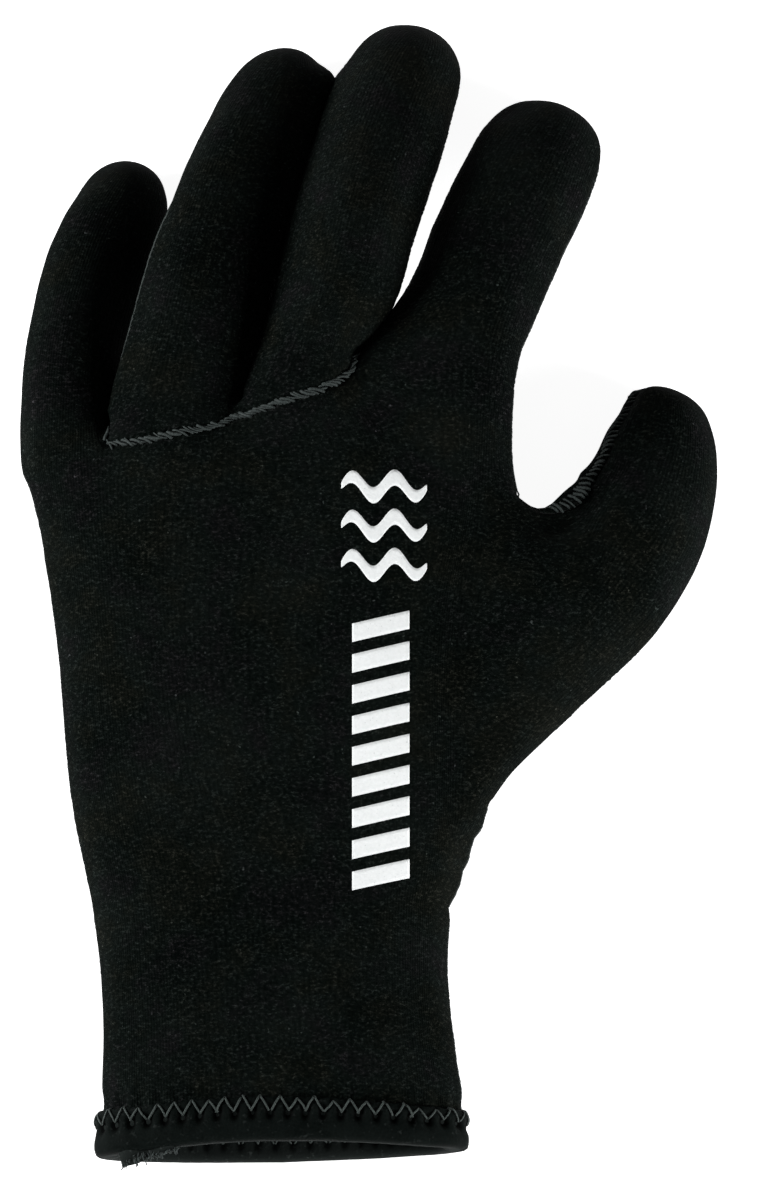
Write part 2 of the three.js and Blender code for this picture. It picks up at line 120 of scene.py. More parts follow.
HAND_SECTIONS = table(
    "along left right top bottom open",
    (0, 0, 0, 0, 0, EVEN),
    (BINDING_HEIGHT / HAND_LENGTH, 0, 0, 0, 0, EVEN),
    (0.2, 0, -0.24, 0.05, -0.05, EVEN),
    (0.35, 0.15, -0.15, 0.2, -0.1, EVEN),
    (0.47, 0.37, 0.5, 0.45, 0, 30),
    (0.68, 0.57, 1.05, 0.75, 0.2, 40),
    (0.87, 0.85, 1.1, 0.95, 0.6, 30),
)
THUMB_ROW = 4
THUMB_COLUMN = 24  # first knit column of the thumb
BACK_POINTS = 9
HAND_POINTS = 2 * BACK_POINTS + 2
FINGER_POINTS = 8
SQUARENESS = 2.5
ROOT_CORNER = 0.75  # how square the little and index fingers' roots are on the outside
FIT_ROUNDS = 12
PATH_STEPS = 60  # down the middle of a finger
PATH_SAMPLES = 20  # of that path, kept for posing
CURL_LIMIT = 60.0  # the most that a finger's pitch is scaled to bring its tip down
CURL_ROUNDS = 20
TIP_ROWS = 6  # how far the knit runs on over a fingertip

# Looks only, in millimetres. rise lifts the middle of a finger, roll lowers its thumb side, and
# round lowers both sides
FINGER_POSES = table(
    "name rise roll round",
    ("little", -1.0, 2.6, 0.8),
    ("ring", 0.5, 2.9, 1.0),
    ("middle", 4.0, -2.8, 3.8),
    ("index", -1.2, 0.4, 1.5),
)
SKIN_LEVELS = 3
COLUMN = 10.5  # width of a cage column in the knit's own coordinates
THUMB_SEAM_RISE = 0.36  # in cage columns
GAP_NEAR = 3.0  # gaps between fingers up to this close fully, and those past the next not at all
GAP_FAR = 8.0
GAP_LEAST = 0.3
GAP_KEPT = 0.06  # from each side of a closed gap
PANEL_EDGE = 0.06  # how far a panel's edge is drawn back from a seam
FLOOR_CLEARANCE = 0.02
TINY = 1e-12  # keeps a vector of no length from a division by zero
STITCH_PITCH = 1.05  # of the overlocked seams
STITCH_WIDTH = 2.1
STITCH_HEIGHT = 0.5
STITCH_SINK = 0.22  # of a stitch's two ends
THREAD = 0.34
ZIGZAG_PITCH = 4.0
ZIGZAG_LOW = 6.4
ZIGZAG_HIGH = 10.7
TAPE_TOP = 10.6
TAPE_DENT = 1.3  # of the neoprene above the tape
MOUTH_ARCH = 2.6  # how far the cuff's edge is drawn back over the middle of the wrist
ARCH_MIDDLE = -2.0
ARCH_WIDE = CUFF_WIDTH * 0.36
MOUTH_FADE = 40  # how far up the wrist the shape of the mouth is felt
TAPE_SHARE = [0.84, 0.82, 0.68]  # at the cuff's left, middle and right
MOUTH_LIFT = [1.4, 1.6, 3.2]  # at the cuff's left, middle and right

RIBS_PER_METRE = 1250.0
WAVE_SCALE = 2 * pi / 20  # one band of Blender's wave texture to a unit, at a scale of 1 / WAVE_SCALE

BACK, INSERT, PALM = 0, 1, 2
LIMBS = ["hand", "little", "ring", "middle", "index", "thumb"]
HAND, THUMB_LIMB = 0, 5
UNDERSIDE = 2  # added to a limb's number, this is the panel under it
PANEL_NODES = ["back_panel", "finger_panel", "palm_panel"] + [limb + "_underside" for limb in LIMBS[1:]]


def lerp(a, b, t):
    return a + (b - a) * t


def vec(x, y, z):
    return np.array([x, y, z], float)


def unit(vectors):
    """Vectors made one long, a single one or rows of them."""
    return vectors / (norm(vectors, axis=-1, keepdims=True) + TINY)


# The cage, built as the solids' is

cage_points = []
cage_faces = []  # (panel, limb, four corners, four (column, row) places in the knit)


def add_point(point):
    cage_points.append(np.array(point, float))
    return len(cage_points) - 1


def edge_of(a, b):
    """An edge by its two points, whichever comes first."""
    return tuple(sorted((a, b)))


row_widths = [f["width"] / cos(radians(sum(f["lean"]) / 2)) for f in FINGERS]
KNUCKLE_WIDTH = sum(row_widths) + FINGER_GAP * (len(FINGERS) - 1)
knuckle_left = KNUCKLE_SHIFT - KNUCKLE_WIDTH / 2
knuckle_right = KNUCKLE_SHIFT + KNUCKLE_WIDTH / 2
knuckle_top = max(f["height"] + f["depth"] / 2 for f in FINGERS)
knuckle_bottom = min(f["height"] - f["depth"] / 2 for f in FINGERS)

roots = []
reached = knuckle_left
for finger, row_width in zip(FINGERS, row_widths):
    centre = reached + row_width / 2
    reached += row_width + FINGER_GAP
    roots.append(dict(finger=finger, centre=centre, edge=reached - FINGER_GAP / 2,
                      y=finger["root"] * HAND_LENGTH))


def signed_power(value, power):
    return copysign(abs(value) ** power, value)


def hand_point(row, index):
    left = lerp(-CUFF_WIDTH / 2, knuckle_left, row["left"])
    right = lerp(CUFF_WIDTH / 2, knuckle_right, row["right"])
    top = lerp(CUFF_FLOOR + CUFF_DEPTH, knuckle_top, row["top"])
    bottom = lerp(CUFF_FLOOR - SETTLE, knuckle_bottom, row["bottom"])
    from_left = min(index, HAND_POINTS - index)
    turned = 180 if from_left > BACK_POINTS else from_left * (180 - row["open"]) / BACK_POINTS
    angle = radians(180 - turned) * (-1 if index > BACK_POINTS + 1 else 1)
    x = signed_power(cos(angle), 2 / SQUARENESS) * (right - left) / 2
    z = signed_power(sin(angle), 2 / SQUARENESS) * (top - bottom) / 2
    return vec((left + right) / 2 + x, row["along"] * HAND_LENGTH, (top + bottom) / 2 + z)


hand_rings = []
for r, row in enumerate(HAND_SECTIONS):
    ring = []
    for i in range(HAND_POINTS):
        hidden = r == THUMB_ROW + 1 and i == BACK_POINTS + 1
        ring.append(-1 if hidden else add_point(hand_point(row, i)))
    hand_rings.append(ring)

webs = []
for root, following in zip(roots, roots[1:]):
    x = root["edge"] + root["finger"]["web"] * root["finger"]["width"]
    y = (root["y"] + following["y"]) / 2
    z = (root["finger"]["height"] + following["finger"]["height"]) / 2
    half = (root["finger"]["depth"] + following["finger"]["depth"]) / 4
    webs.append(dict(back=add_point(vec(x, y, z + half - VALLEY_DEPTH)),
                     middle=add_point(vec(root["edge"], y + WEB_FORWARD, z)),
                     palm=add_point(vec(root["edge"], y + PALM_WEB_FORWARD, z - half))))


def root_ring(k):
    """The ring of points at a finger's root, some of them shared with its neighbours' webs."""
    finger = roots[k]["finger"]
    half = finger["depth"] / 2
    across = row_widths[k] / 2

    def at(aside, over):
        return add_point(vec(roots[k]["centre"] + aside, roots[k]["y"], finger["height"] + over))

    def outer_side(aside):
        back, palm = (at(aside * ROOT_CORNER, half * over) for over in (ROOT_CORNER, -ROOT_CORNER))
        return dict(middle=at(aside, 0), back=back, palm=palm)

    left = outer_side(-across) if k == 0 else webs[k - 1]
    right = outer_side(across) if k == len(roots) - 1 else webs[k]
    back, palm = at(0, half), at(0, -half)
    return [left["middle"], left["back"], back, right["back"],
            right["middle"], right["palm"], palm, left["palm"]]


finger_roots = [root_ring(k) for k in range(len(roots))]
knuckle_ring = [finger_roots[0][0], finger_roots[0][1]]
for ring in finger_roots:
    knuckle_ring += ring[2:4]
knuckle_ring += [finger_roots[-1][4], finger_roots[-1][5]]
for ring in reversed(finger_roots):
    knuckle_ring += ring[6:8]

row_places = [row["along"] * HAND_LENGTH for row in HAND_SECTIONS] + [HAND_LENGTH]
rings = hand_rings + [knuckle_ring]
for r in range(len(rings) - 1):
    for i in range(HAND_POINTS):
        if i in (BACK_POINTS, BACK_POINTS + 1) and r in (THUMB_ROW, THUMB_ROW + 1):
            continue
        panel = BACK if i <= BACK_POINTS else PALM
        j = (i + 1) % HAND_POINTS
        corners = [rings[r][i], rings[r][j], rings[r + 1][j], rings[r + 1][i]]
        low, high = row_places[r], row_places[r + 1]
        cage_faces.append((panel, HAND, corners, [(i, low), (i + 1, low), (i + 1, high), (i, high)]))


def path_of(shape, sections, start, pitch_scale):
    """Stations down the middle of a finger that leans to the thumb side and curls down."""
    alongs = [0] + [row["along"] for row in sections] + [1]
    pitches = [0] + [row["pitch"] for row in sections] + [sections[-1]["pitch"]]
    at = np.array(start, float)
    stations = []
    for step in range(PATH_STEPS + 1):
        s = step / PATH_STEPS
        pitch = radians(pitch_scale * np.interp(s, alongs, pitches))
        lean = radians(lerp(*shape["lean"], s ** shape.get("lateness", 1)))
        along = vec(sin(lean) * cos(pitch), cos(lean) * cos(pitch), -sin(pitch))
        side = vec(cos(lean), -sin(lean), 0)
        stations.append((at.copy(), along, side, np.cross(side, along)))
        at = at + along * shape["length"] / PATH_STEPS
    return lambda share_along: stations[min(PATH_STEPS, int(floor(share_along * PATH_STEPS + 0.5)))]


def path_to_surface(shape, sections, start):
    """The path whose curl brings the fingertip down to the floor."""
    tip_radius = sections[-1]["deep"] * shape["depth"] / 2
    low, high = 0.0, CURL_LIMIT
    for _ in range(CURL_ROUNDS):
        middle = (low + high) / 2
        at, _, _, up = path_of(shape, sections, start, middle)(sections[-1]["along"])
        if at[2] - tip_radius * up[2] > 0:
            low = middle
        else:
            high = middle
    return path_of(shape, sections, start, low)


path_points = {}


def add_finger(shape, limb, sections, start, root_ids, back, first_column, first_row):
    """Rings of cage points along a finger's path, joined to its root and closed at its tip."""
    path = path_to_surface(shape, sections, start)
    path_points[limb] = [path(i / PATH_SAMPLES)[0] for i in range(PATH_SAMPLES + 1)]
    roll = radians(shape.get("roll", 0))
    previous = root_ids
    previous_row = first_row
    for row in sections:
        at, along, side, up = path(row["along"])
        turn = radians(row.get("turn", 0))
        cross = side * cos(turn) - along * sin(turn)
        ring = []
        for i in range(FINGER_POINTS):
            angle = pi - i * 2 * pi / FINGER_POINTS
            across = cos(angle) * row[shape["name"]] * shape["width"] / 2
            over = sin(angle) * row["deep"] * shape["depth"] / 2
            turned_across = across * cos(roll) + over * sin(roll)
            turned_over = -across * sin(roll) + over * cos(roll)
            ring.append(add_point(at + cross * turned_across + up * turned_over))
        this_row = first_row + row["along"] * shape["length"]
        for i in range(FINGER_POINTS):
            j = (i + 1) % FINGER_POINTS
            panel = back if i < FINGER_POINTS / 2 else UNDERSIDE + limb
            a, b = first_column + i, first_column + i + 1
            cage_faces.append((panel, limb, [previous[i], previous[j], ring[j], ring[i]],
                               [(a, previous_row), (b, previous_row), (b, this_row), (a, this_row)]))
        previous = ring
        previous_row = this_row
    tip = add_point(path(1)[0])
    end = first_row + shape["length"] + TIP_ROWS
    for i in range(0, FINGER_POINTS, 2):
        panel = back if i < FINGER_POINTS / 2 else UNDERSIDE + limb
        a = first_column + i
        corners = [previous[i], previous[i + 1], previous[(i + 2) % FINGER_POINTS], tip]
        cage_faces.append((panel, limb, corners, [(a, previous_row), (a + 1, previous_row),
                                                  (a + 2, previous_row), (a + 1, end)]))


for k, root in enumerate(roots):
    back = INSERT if k in (1, 2) else BACK
    start = vec(root["centre"], root["y"], root["finger"]["height"])
    add_finger(root["finger"], k + 1, FINGER_SECTIONS, start, finger_roots[k], back, 2 * k, HAND_LENGTH)
THUMB_SIDE = BACK_POINTS + 1
thumb_hole = [hand_rings[THUMB_ROW + up][THUMB_SIDE + over] for up, over in
              ((2, 0), (2, -1), (1, -1), (0, -1), (0, 0), (0, 1), (1, 1), (2, 1))]
thumb_x = KNUCKLE_SHIFT + THUMB["across"] * KNUCKLE_WIDTH
thumb_start = vec(thumb_x, THUMB["root"] * HAND_LENGTH, THUMB["height"])
add_finger(THUMB, THUMB_LIMB, THUMB_SECTIONS, thumb_start, thumb_hole, BACK, THUMB_COLUMN, 0.0)


def limit_matrix(count, faces):
    """The matrix that takes cage points to their places on the smooth surface."""
    face_count = {}
    across_face = [set() for _ in range(count)]
    for _, _, corners, _ in faces:
        for i in range(4):
            edge = edge_of(corners[i], corners[(i + 1) % 4])
            face_count[edge] = face_count.get(edge, 0) + 1
            across_face[corners[i]].add(corners[(i + 2) % 4])
    ends = [[] for _ in range(count)]
    rim = [[] for _ in range(count)]
    for (a, b), faces_here in face_count.items():
        ends[a].append(b)
        ends[b].append(a)
        if faces_here == 1:
            rim[a].append(b)
            rim[b].append(a)
    matrix = np.zeros((count, count))
    for v in range(count):
        n = len(ends[v])
        if rim[v]:
            matrix[v, v] = 2 / 3
            for e in rim[v]:
                matrix[v, e] += 1 / 6
        else:
            matrix[v, v] = n * n / (n * (n + 5))
            for e in ends[v]:
                matrix[v, e] += 4 / (n * (n + 5))
            for e in across_face[v]:
                matrix[v, e] += 1 / (n * (n + 5))
    return matrix


wanted = np.array(cage_points)
matrix = limit_matrix(len(wanted), cage_faces)
fitted = wanted.copy()
for _ in range(FIT_ROUNDS):
    fitted += wanted - matrix @ fitted

# The solids' origin is under the middle of their box, and the cage's is at the middle of the cuff
binding_low, binding_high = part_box("cuff_binding")
palm_low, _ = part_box("palm_panel")
SHIFT = vec((binding_low[0] + binding_high[0]) / 2 / MM, palm_low[1] / MM, 0)


# Meshes and materials

def linked(name, data):
    """A new object in the scene."""
    obj = bpy.data.objects.new(name, data)
    bpy.context.collection.objects.link(obj)
    return obj


def new_object(name, points, faces, materials=()):
    """A mesh object from points in millimetres in the cage's frame."""
    mesh = bpy.data.meshes.new(name)
    moved = (np.asarray(points, float) + SHIFT) * MM
    mesh.from_pydata([tuple(p) for p in moved], [], [tuple(int(v) for v in f) for f in faces])
    for material in materials:
        mesh.materials.append(material)
    mesh.polygons.foreach_set("use_smooth", [True] * len(mesh.polygons))
    mesh.update()
    return linked(name, mesh)


def applied(obj):
    """The object's mesh with its modifiers, as a new mesh."""
    graph = bpy.context.evaluated_depsgraph_get()
    graph.update()
    return bpy.data.meshes.new_from_object(obj.evaluated_get(graph))


class Nodes:
    """A short way to write a material's nodes."""

    def __init__(self, name):
        self.material = bpy.data.materials.new(name)
        self.material.use_nodes = True
        self.tree = self.material.node_tree
        self.shader = self.tree.nodes["Principled BSDF"]

    def add(self, kind, inputs=(), **settings):
        node = self.tree.nodes.new(kind)
        for key, value in settings.items():
            setattr(node, key, value)
        for key, value in dict(inputs).items():
            self.set(node, key, value)
        return node

    def set(self, node, key, value):
        socket = node.inputs[key]
        if isinstance(value, bpy.types.NodeSocket):
            self.tree.links.new(value, socket)
        else:
            socket.default_value = value

    def place(self):
        return self.add("ShaderNodeTexCoord").outputs["Object"]

    def noise(self, place, scale, detail, roughness):
        return self.add("ShaderNodeTexNoise", {"Vector": place, "Scale": scale, "Detail": detail,
                                               "Roughness": roughness}).outputs["Fac"]

    def ramp(self, value, low, high, to_low=0.0, to_high=1.0):
        return self.add("ShaderNodeMapRange", {"Value": value, "From Min": low, "From Max": high,
                                               "To Min": to_low, "To Max": to_high}).outputs["Result"]

    def math(self, operation, a, b):
        return self.add("ShaderNodeMath", {0: a, 1: b}, operation=operation).outputs[0]

    def times(self, a, b):
        return self.math("MULTIPLY", a, b)

    def plus(self, a, b):
        return self.math("ADD", a, b)

    def mix(self, factor, a, b, blend_type="MIX"):
        """Two colours mixed: a socket, or red, green and blue."""
        node = self.add("ShaderNodeMix", {"Factor": factor}, data_type="RGBA", blend_type=blend_type)
        for key, colour in ((6, a), (7, b)):
            self.set(node, key, tuple(colour) + (1,) if isinstance(colour, tuple) else colour)
        return node.outputs[2]

    def bump(self, height, strength, distance):
        return self.add("ShaderNodeBump", {"Height": height, "Strength": strength,
                                           "Distance": distance}).outputs["Normal"]

    def finished(self, sockets):
        """The material, with these values and nodes on its shader."""
        for key, value in sockets.items():
            self.set(self.shader, key, value)
        return self.material


def jersey_material(name):
    """Black knitted jersey over neoprene: fine ribs, loose pale fibres and hardly any gloss."""
    n = Nodes(name)
    place = n.place()
    knit = n.add("ShaderNodeUVMap", uv_map="knit").outputs["UV"]
    ribs = n.add("ShaderNodeTexWave", {"Vector": knit, "Scale": RIBS_PER_METRE * WAVE_SCALE,
                                       "Distortion": 0.6, "Detail": 1.0, "Detail Scale": 1.5},
                 wave_type="BANDS", bands_direction="X").outputs["Fac"]
    stretched = n.add("ShaderNodeMapping", {"Vector": place, "Scale": (1.0, 1.7, 1.0)}).outputs["Vector"]
    fine = n.noise(place, 2600.0, 2.0, 0.6)
    fluff = n.noise(stretched, 980.0, 3.0, 0.75)
    cloud = n.noise(place, 42.0, 3.0, 0.55)
    spot = n.add("ShaderNodeSeparateXYZ", {"Vector": place}).outputs
    faded = n.times(n.ramp(spot["X"], -0.01, 0.03), n.ramp(spot["Y"], 0.02, -0.03))
    hue = n.plus(n.noise(place, 75.0, 3.0, 0.6), n.times(faded, 0.09))
    speck = n.times(n.ramp(fluff, 0.55, 0.72), n.ramp(fine, 0.35, 0.65, 0.3, 1.0))
    lint = n.ramp(n.noise(place, 900.0, 1.0, 0.5), 0.75, 0.82)
    shade = n.plus(n.plus(n.times(cloud, 0.35), n.times(fluff, 0.62)), n.times(ribs, 0.03))
    base = n.mix(n.ramp(shade, 0.38, 0.62), (0.0004, 0.0012, 0.0009), (0.0042, 0.0060, 0.0052))
    flecked = n.mix(n.times(speck, 0.75), base, (0.027, 0.034, 0.031))
    colour = n.mix(n.times(lint, 0.5), flecked, (0.060, 0.075, 0.070))
    warm = n.mix(1.0, colour, (1.30, 1.0, 0.82), blend_type="MULTIPLY")
    cool = n.mix(1.0, colour, (1.24, 0.90, 1.08), blend_type="MULTIPLY")
    colour = n.mix(n.ramp(hue, 0.50, 0.66, 0.0, 0.7), colour, warm)
    colour = n.mix(n.ramp(hue, 0.48, 0.34, 0.0, 0.9), colour, cool)
    height = n.plus(n.plus(n.times(ribs, 0.25), n.times(fluff, 0.9)), n.times(fine, 0.35))
    return n.finished({"Base Color": colour, "Roughness": n.ramp(fluff, 0.3, 0.7, 0.8, 0.95),
                       "Specular IOR Level": 0.015, "Sheen Weight": 0.006, "Sheen Roughness": 0.4,
                       "Normal": n.bump(height, 0.8, 0.0003)})


def lining_material():
    """The inner face: plainer, smoother knit."""
    n = Nodes("lining")
    grain = n.noise(n.place(), 900.0, 2.0, 0.6)
    return n.finished({"Base Color": n.mix(grain, (0.004, 0.005, 0.005), (0.012, 0.014, 0.013)),
                       "Roughness": 0.9, "Specular IOR Level": 0.15, "Normal": n.bump(grain, 0.5, 0.0003)})


def foam_material():
    """The cut edge of the neoprene."""
    n = Nodes("foam_edge")
    cells = n.add("ShaderNodeTexVoronoi", {"Vector": n.place(), "Scale": 2200.0}).outputs["Distance"]
    return n.finished({"Base Color": n.mix(cells, (0.006, 0.006, 0.006), (0.02, 0.02, 0.02)),
                       "Roughness": 0.8, "Normal": n.bump(cells, 0.5, 0.0002)})


def tape_material(name, wear):
    """Smooth woven tape with a soft gloss, painted shade in the dips at its stitches, and paler and more
    flecked where worn.
    """
    n = Nodes(name)
    place = n.place()
    weave = n.noise(place, 1800.0, 2.0, 0.55)
    stain = n.noise(place, 160.0, 3.0, 0.6)
    fleck = n.ramp(n.noise(place, 900.0, 2.0, 0.5), 0.62, 0.76)
    shade = n.plus(n.times(weave, 0.5), n.times(stain, 0.5))
    base = n.mix(n.ramp(shade, 0.3, 0.7), (0.0008, 0.0017, 0.0014), (0.0044, 0.0062, 0.0056))
    colour = n.mix(n.times(fleck, lerp(0.25, 0.8, wear)), base, (0.04, 0.046, 0.044))
    colour = n.mix(wear * 0.25, colour, (0.030, 0.036, 0.034))
    # Painted shade: the colour goes almost black where the dip attribute is deep, at the stitches' dips
    # outside and inside the cuff
    dip = n.add("ShaderNodeAttribute", attribute_name="dip").outputs["Fac"]
    colour = n.mix(n.ramp(dip, 0.12, 0.62), colour, (0.0002, 0.0004, 0.0003))
    return n.finished({"Base Color": colour, "Roughness": n.ramp(stain, 0.3, 0.7, 0.68, 0.85),
                       "Specular IOR Level": 0.025, "Normal": n.bump(weave, 0.5, 0.00025)})


def thread_material(name, colour):
    """Twisted thread: its plies run round it."""
    n = Nodes(name)
    plies = n.noise(n.place(), 2600.0, 1.0, 0.5)
    dull = tuple(c * 0.55 for c in colour)
    return n.finished({"Base Color": n.mix(n.ramp(plies, 0.35, 0.65), dull, colour), "Roughness": 0.6,
                       "Specular IOR Level": 0.15, "Sheen Weight": 0.02,
                       "Normal": n.bump(plies, 0.5, 0.0002)})


def print_material():
    """White screen print: a little of the knit shows through it."""
    n = Nodes("white_print")
    place = n.place()
    grain = n.noise(place, 1300.0, 2.0, 0.6)
    wear = n.ramp(n.noise(place, 2100.0, 2.0, 0.5), 0.66, 0.80)
    base = n.mix(grain, (0.70, 0.72, 0.72), (0.86, 0.88, 0.88))
    return n.finished({"Base Color": n.mix(n.times(wear, 0.5), base, (0.20, 0.22, 0.22)), "Roughness": 0.75,
                       "Specular IOR Level": 0.3, "Normal": n.bump(grain, 0.5, 0.0002)})


jersey = jersey_material("jersey")
lining = lining_material()
foam = foam_material()
tape_cloth = tape_material("binding_tape", 0.0)
tape_inside = tape_material("binding_tape_worn", 1.0)
seam_thread = thread_material("seam_thread", (0.040, 0.050, 0.047))
zigzag_thread = thread_material("zigzag_thread", (0.038, 0.048, 0.046))
cuff_thread = thread_material("cuff_thread", (0.044, 0.056, 0.052))


# The smooth skin

def smooth_skin():
    """Points, faces, panels and knit places of the whole outer skin, and its normals."""
    cage = new_object("cage", fitted, [corners for _, _, corners, _ in cage_faces])
    mesh = cage.data
    for _ in range(len(PANEL_NODES) * len(LIMBS)):
        mesh.materials.append(jersey)
    for polygon, (panel, limb, _, _) in zip(mesh.polygons, cage_faces):
        polygon.material_index = limb * len(PANEL_NODES) + panel
    knit = mesh.uv_layers.new(name="knit")
    for polygon, (_, _, _, places) in zip(mesh.polygons, cage_faces):
        for loop, (column, row) in zip(polygon.loop_indices, places):
            knit.data[loop].uv = (column * COLUMN * MM, row * MM)
    for v in mesh.vertices:
        v.co = Vector(fitted[v.index])  # the skin is worked on in millimetres
    smooth = cage.modifiers.new("smooth", "SUBSURF")
    smooth.levels = SKIN_LEVELS
    smooth.render_levels = SKIN_LEVELS
    fine = applied(cage)
    points = np.empty(len(fine.vertices) * 3)
    fine.vertices.foreach_get("co", points)
    faces = np.array([p.vertices[:] for p in fine.polygons])
    labels = np.array([p.material_index for p in fine.polygons])
    uv = np.empty(len(fine.loops) * 2)
    fine.uv_layers["knit"].data.foreach_get("uv", uv)
    bpy.data.objects.remove(cage)
    limbs, panels = labels // len(PANEL_NODES), labels % len(PANEL_NODES)
    return points.reshape(-1, 3), faces, panels, limbs, uv.reshape(-1, 4, 2)


def normals_of(points, faces):
    a, b, c, d = (points[faces[:, i]] for i in range(4))
    face_normals = unit(np.cross(c - a, d - b))
    out = np.zeros_like(points)
    for i in range(4):
        np.add.at(out, faces[:, i], face_normals)
    return unit(out)


skin, skin_faces, skin_panels, skin_limbs, skin_knit = smooth_skin()

# The thumb's inner seam lies a little up its back, where the photograph shows its stitches
thumb_column = skin_knit[:, :, 0].mean(axis=1) / MM / COLUMN - THUMB_COLUMN
seam_rises = (skin_limbs == THUMB_LIMB) & (skin_panels == BACK) & (thumb_column < THUMB_SEAM_RISE)
skin_panels[seam_rises] = UNDERSIDE + THUMB_LIMB
skin_normals = normals_of(skin, skin_faces)


def tree_of(chosen):
    """A search tree over some of the skin's faces."""
    return BVHTree.FromPolygons([Vector(p) for p in skin], [tuple(int(v) for v in f) for f in chosen])


def close_gaps():
    """Neighbouring fingers press against each other: their sides swell until they almost touch."""
    trees = {limb: tree_of(skin_faces[skin_limbs == limb]) for limb in range(1, 5)}
    moves = np.zeros_like(skin)
    for limb in range(1, 5):
        for v in np.unique(skin_faces[skin_limbs == limb]):
            for neighbour in (limb - 1, limb + 1):
                if neighbour not in trees:
                    continue
                place, normal, _, distance = trees[neighbour].find_nearest(Vector(skin[v]))
                if place is None or distance > GAP_FAR or distance < GAP_LEAST:
                    continue
                facing = -float(np.dot(skin_normals[v], np.array(normal)))
                share = np.clip((GAP_FAR - distance) / (GAP_FAR - GAP_NEAR), 0, 1)
                share = share * share * (3 - 2 * share) * np.clip(facing / 0.6, 0, 1)
                move = (np.array(place) - skin[v]) * share * (0.5 - GAP_KEPT / max(distance, GAP_LEAST))
                if norm(move) > norm(moves[v]):
                    moves[v] = move
    return moves


skin = skin + close_gaps()


def pose_fingers():
    """The middle finger rides over its neighbours, and each finger rolls a little off it."""
    moves = np.zeros(len(skin))
    share = np.zeros(len(skin))
    for pose in FINGER_POSES:
        limb = LIMBS.index(pose["name"])
        faces = skin_faces[skin_limbs == limb]
        rows = skin_knit[skin_limbs == limb][:, :, 1] / MM - HAND_LENGTH
        length = FINGERS[limb - 1]["length"]
        across = unit(np.cross(path_points[limb][-1] - path_points[limb][0], vec(0, 0, 1)))
        for face, row in zip(faces, rows):
            for v, r in zip(face, row):
                t = min(max(r / length, 0), 1)
                swell = sin(pi * t ** 0.75) ** 1.5
                middle = path_points[limb][int(t * PATH_SAMPLES)]
                side = float(np.dot(skin[v] - middle, across)) / (FINGERS[limb - 1]["width"] / 2)
                moves[v] += (pose["rise"] - pose["roll"] * side - pose["round"] * side ** 2) * swell
                share[v] += 1
    return moves / np.maximum(share, 1)


skin[:, 2] += pose_fingers()
skin_normals = normals_of(skin, skin_faces)


def bell(distance, width):
    return np.exp(-((distance / width) ** 2))


# How far the web between index finger and thumb is filled, at places across the hand
NOTCH_Y = 149
NOTCH_REACH = 10
NOTCH_FILLS = table("x wide fill", (58.5, 7, 2.2), (65.3, 4.0, 4.0), (68.6, 2.4, 1.5))
THUMB_TIP_Y = 158  # beyond it, the thumb is shortened
THUMB_TIP_RUN = 20
THUMB_TIP_DROP = 1.8


def sharpen_crotch():
    """The web between the index finger and the thumb closes to a notch."""
    x, y = skin[:, 0], skin[:, 1]
    near = bell(y - NOTCH_Y, NOTCH_REACH)
    fill = sum(n["fill"] * bell(x - n["x"], n["wide"]) for n in NOTCH_FILLS)
    skin[:, 1] += fill * near
    tip = np.unique(skin_faces[skin_limbs == THUMB_LIMB])
    skin[tip, 1] -= THUMB_TIP_DROP * np.clip((skin[tip, 1] - THUMB_TIP_Y) / THUMB_TIP_RUN, 0, 1)


sharpen_crotch()

# Small changes of the fingertips' outlines, in the cage's frame
TIP_MOVES = table(
    "limb at reach move",
    ("ring", (8.3, 252.5), 3.4, (2.2, 0.6)),
    ("middle", (40.0, 246.0), 10.0, (-1.4, -0.2)),
    ("index", (73.0, 233.0), 9.0, (-1.9, -0.3)),
    ("index", (56.0, 246.0), 8.0, (0.6, -0.9)),
)


def shape_tips():
    for tip in TIP_MOVES:
        own = np.unique(skin_faces[skin_limbs == LIMBS.index(tip["limb"])])
        dx, dy = skin[own, 0] - tip["at"][0], skin[own, 1] - tip["at"][1]
        share = np.exp(-(dx * dx + dy * dy) / tip["reach"] ** 2)
        skin[own, 0] += tip["move"][0] * share
        skin[own, 1] += tip["move"][1] * share


shape_tips()


def seam_edges():
    """Edges of the skin whose two faces belong to different panels, by the pair of panels."""
    seen = {}
    for face, panel in zip(skin_faces, skin_panels):
        for i in range(4):
            edge = edge_of(face[i], face[(i + 1) % 4])
            seen.setdefault(edge, []).append(panel)
    seams = {}
    for edge, panels in seen.items():
        if len(panels) == 2 and panels[0] != panels[1]:
            seams.setdefault(tuple(sorted(panels)), []).append(edge)
    return seams


def chains(edges):
    """Edges joined into runs of points."""
    beside = {}
    for a, b in edges:
        beside.setdefault(a, []).append(b)
        beside.setdefault(b, []).append(a)
    left = set(edges)
    runs = []
    starts = [v for v, near in beside.items() if len(near) != 2] + list(beside)
    for start in starts:
        for first in beside[start]:
            if edge_of(start, first) not in left:
                continue
            run = [start, first]
            left.discard(edge_of(start, first))
            while len(beside[run[-1]]) == 2:
                onward = [w for w in beside[run[-1]] if edge_of(run[-1], w) in left]
                if not onward:
                    break
                left.discard(edge_of(run[-1], onward[0]))
                run.append(onward[0])
            runs.append(run)
    return runs


seams = seam_edges()
seam_points = sorted({v for edges in seams.values() for e in edges for v in e})


def distance_to(chosen):
    """How far each point of the skin is from the nearest of the chosen ones."""
    tree = KDTree(len(chosen))
    for i, v in enumerate(chosen):
        tree.insert(Vector(skin[v]), i)
    tree.balance()
    return np.array([tree.find(Vector(p))[2] for p in skin])


